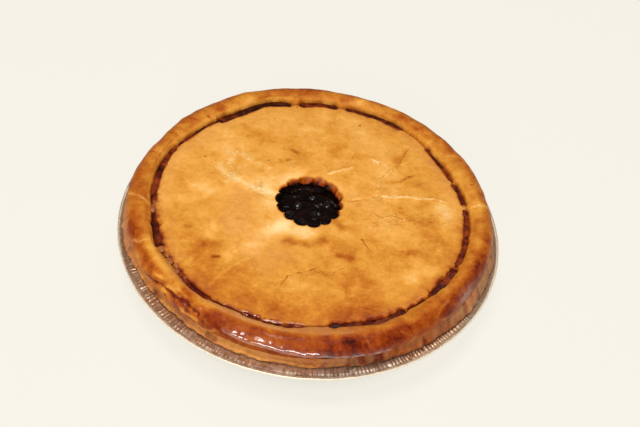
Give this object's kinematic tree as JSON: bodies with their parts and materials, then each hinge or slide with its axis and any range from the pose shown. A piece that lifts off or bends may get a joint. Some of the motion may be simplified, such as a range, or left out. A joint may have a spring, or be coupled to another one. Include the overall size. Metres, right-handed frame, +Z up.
{
  "type": "blueberry pie",
  "caption": "Round double-crust pie with a rolled rim, a burst seam and a scalloped vent over dark berry filling, in a shallow pleated foil tin.",
  "frame": {"origin": "centre of the tin's flat base, on the surface the pie stands on", "axes": "+Z up through the middle of the vent; the burst seam opens widest near -X and -Y is the side with the strongest browning of the rim"},
  "size_m": [0.246, 0.246, 0.0503],
  "materials": {
    "foil": "bright thin foil, pleated",
    "bottom_crust": "baked pastry, pale golden brown",
    "filling": "wet, almost black berry filling",
    "top_crust": "glazed baked pastry, golden lid and browner rim"
  },
  "bodies": {
    "root": {"foil_tin": "foil", "bottom_crust": "bottom_crust", "filling": "filling", "top_crust": "top_crust"}
  },
  "joints": []
}
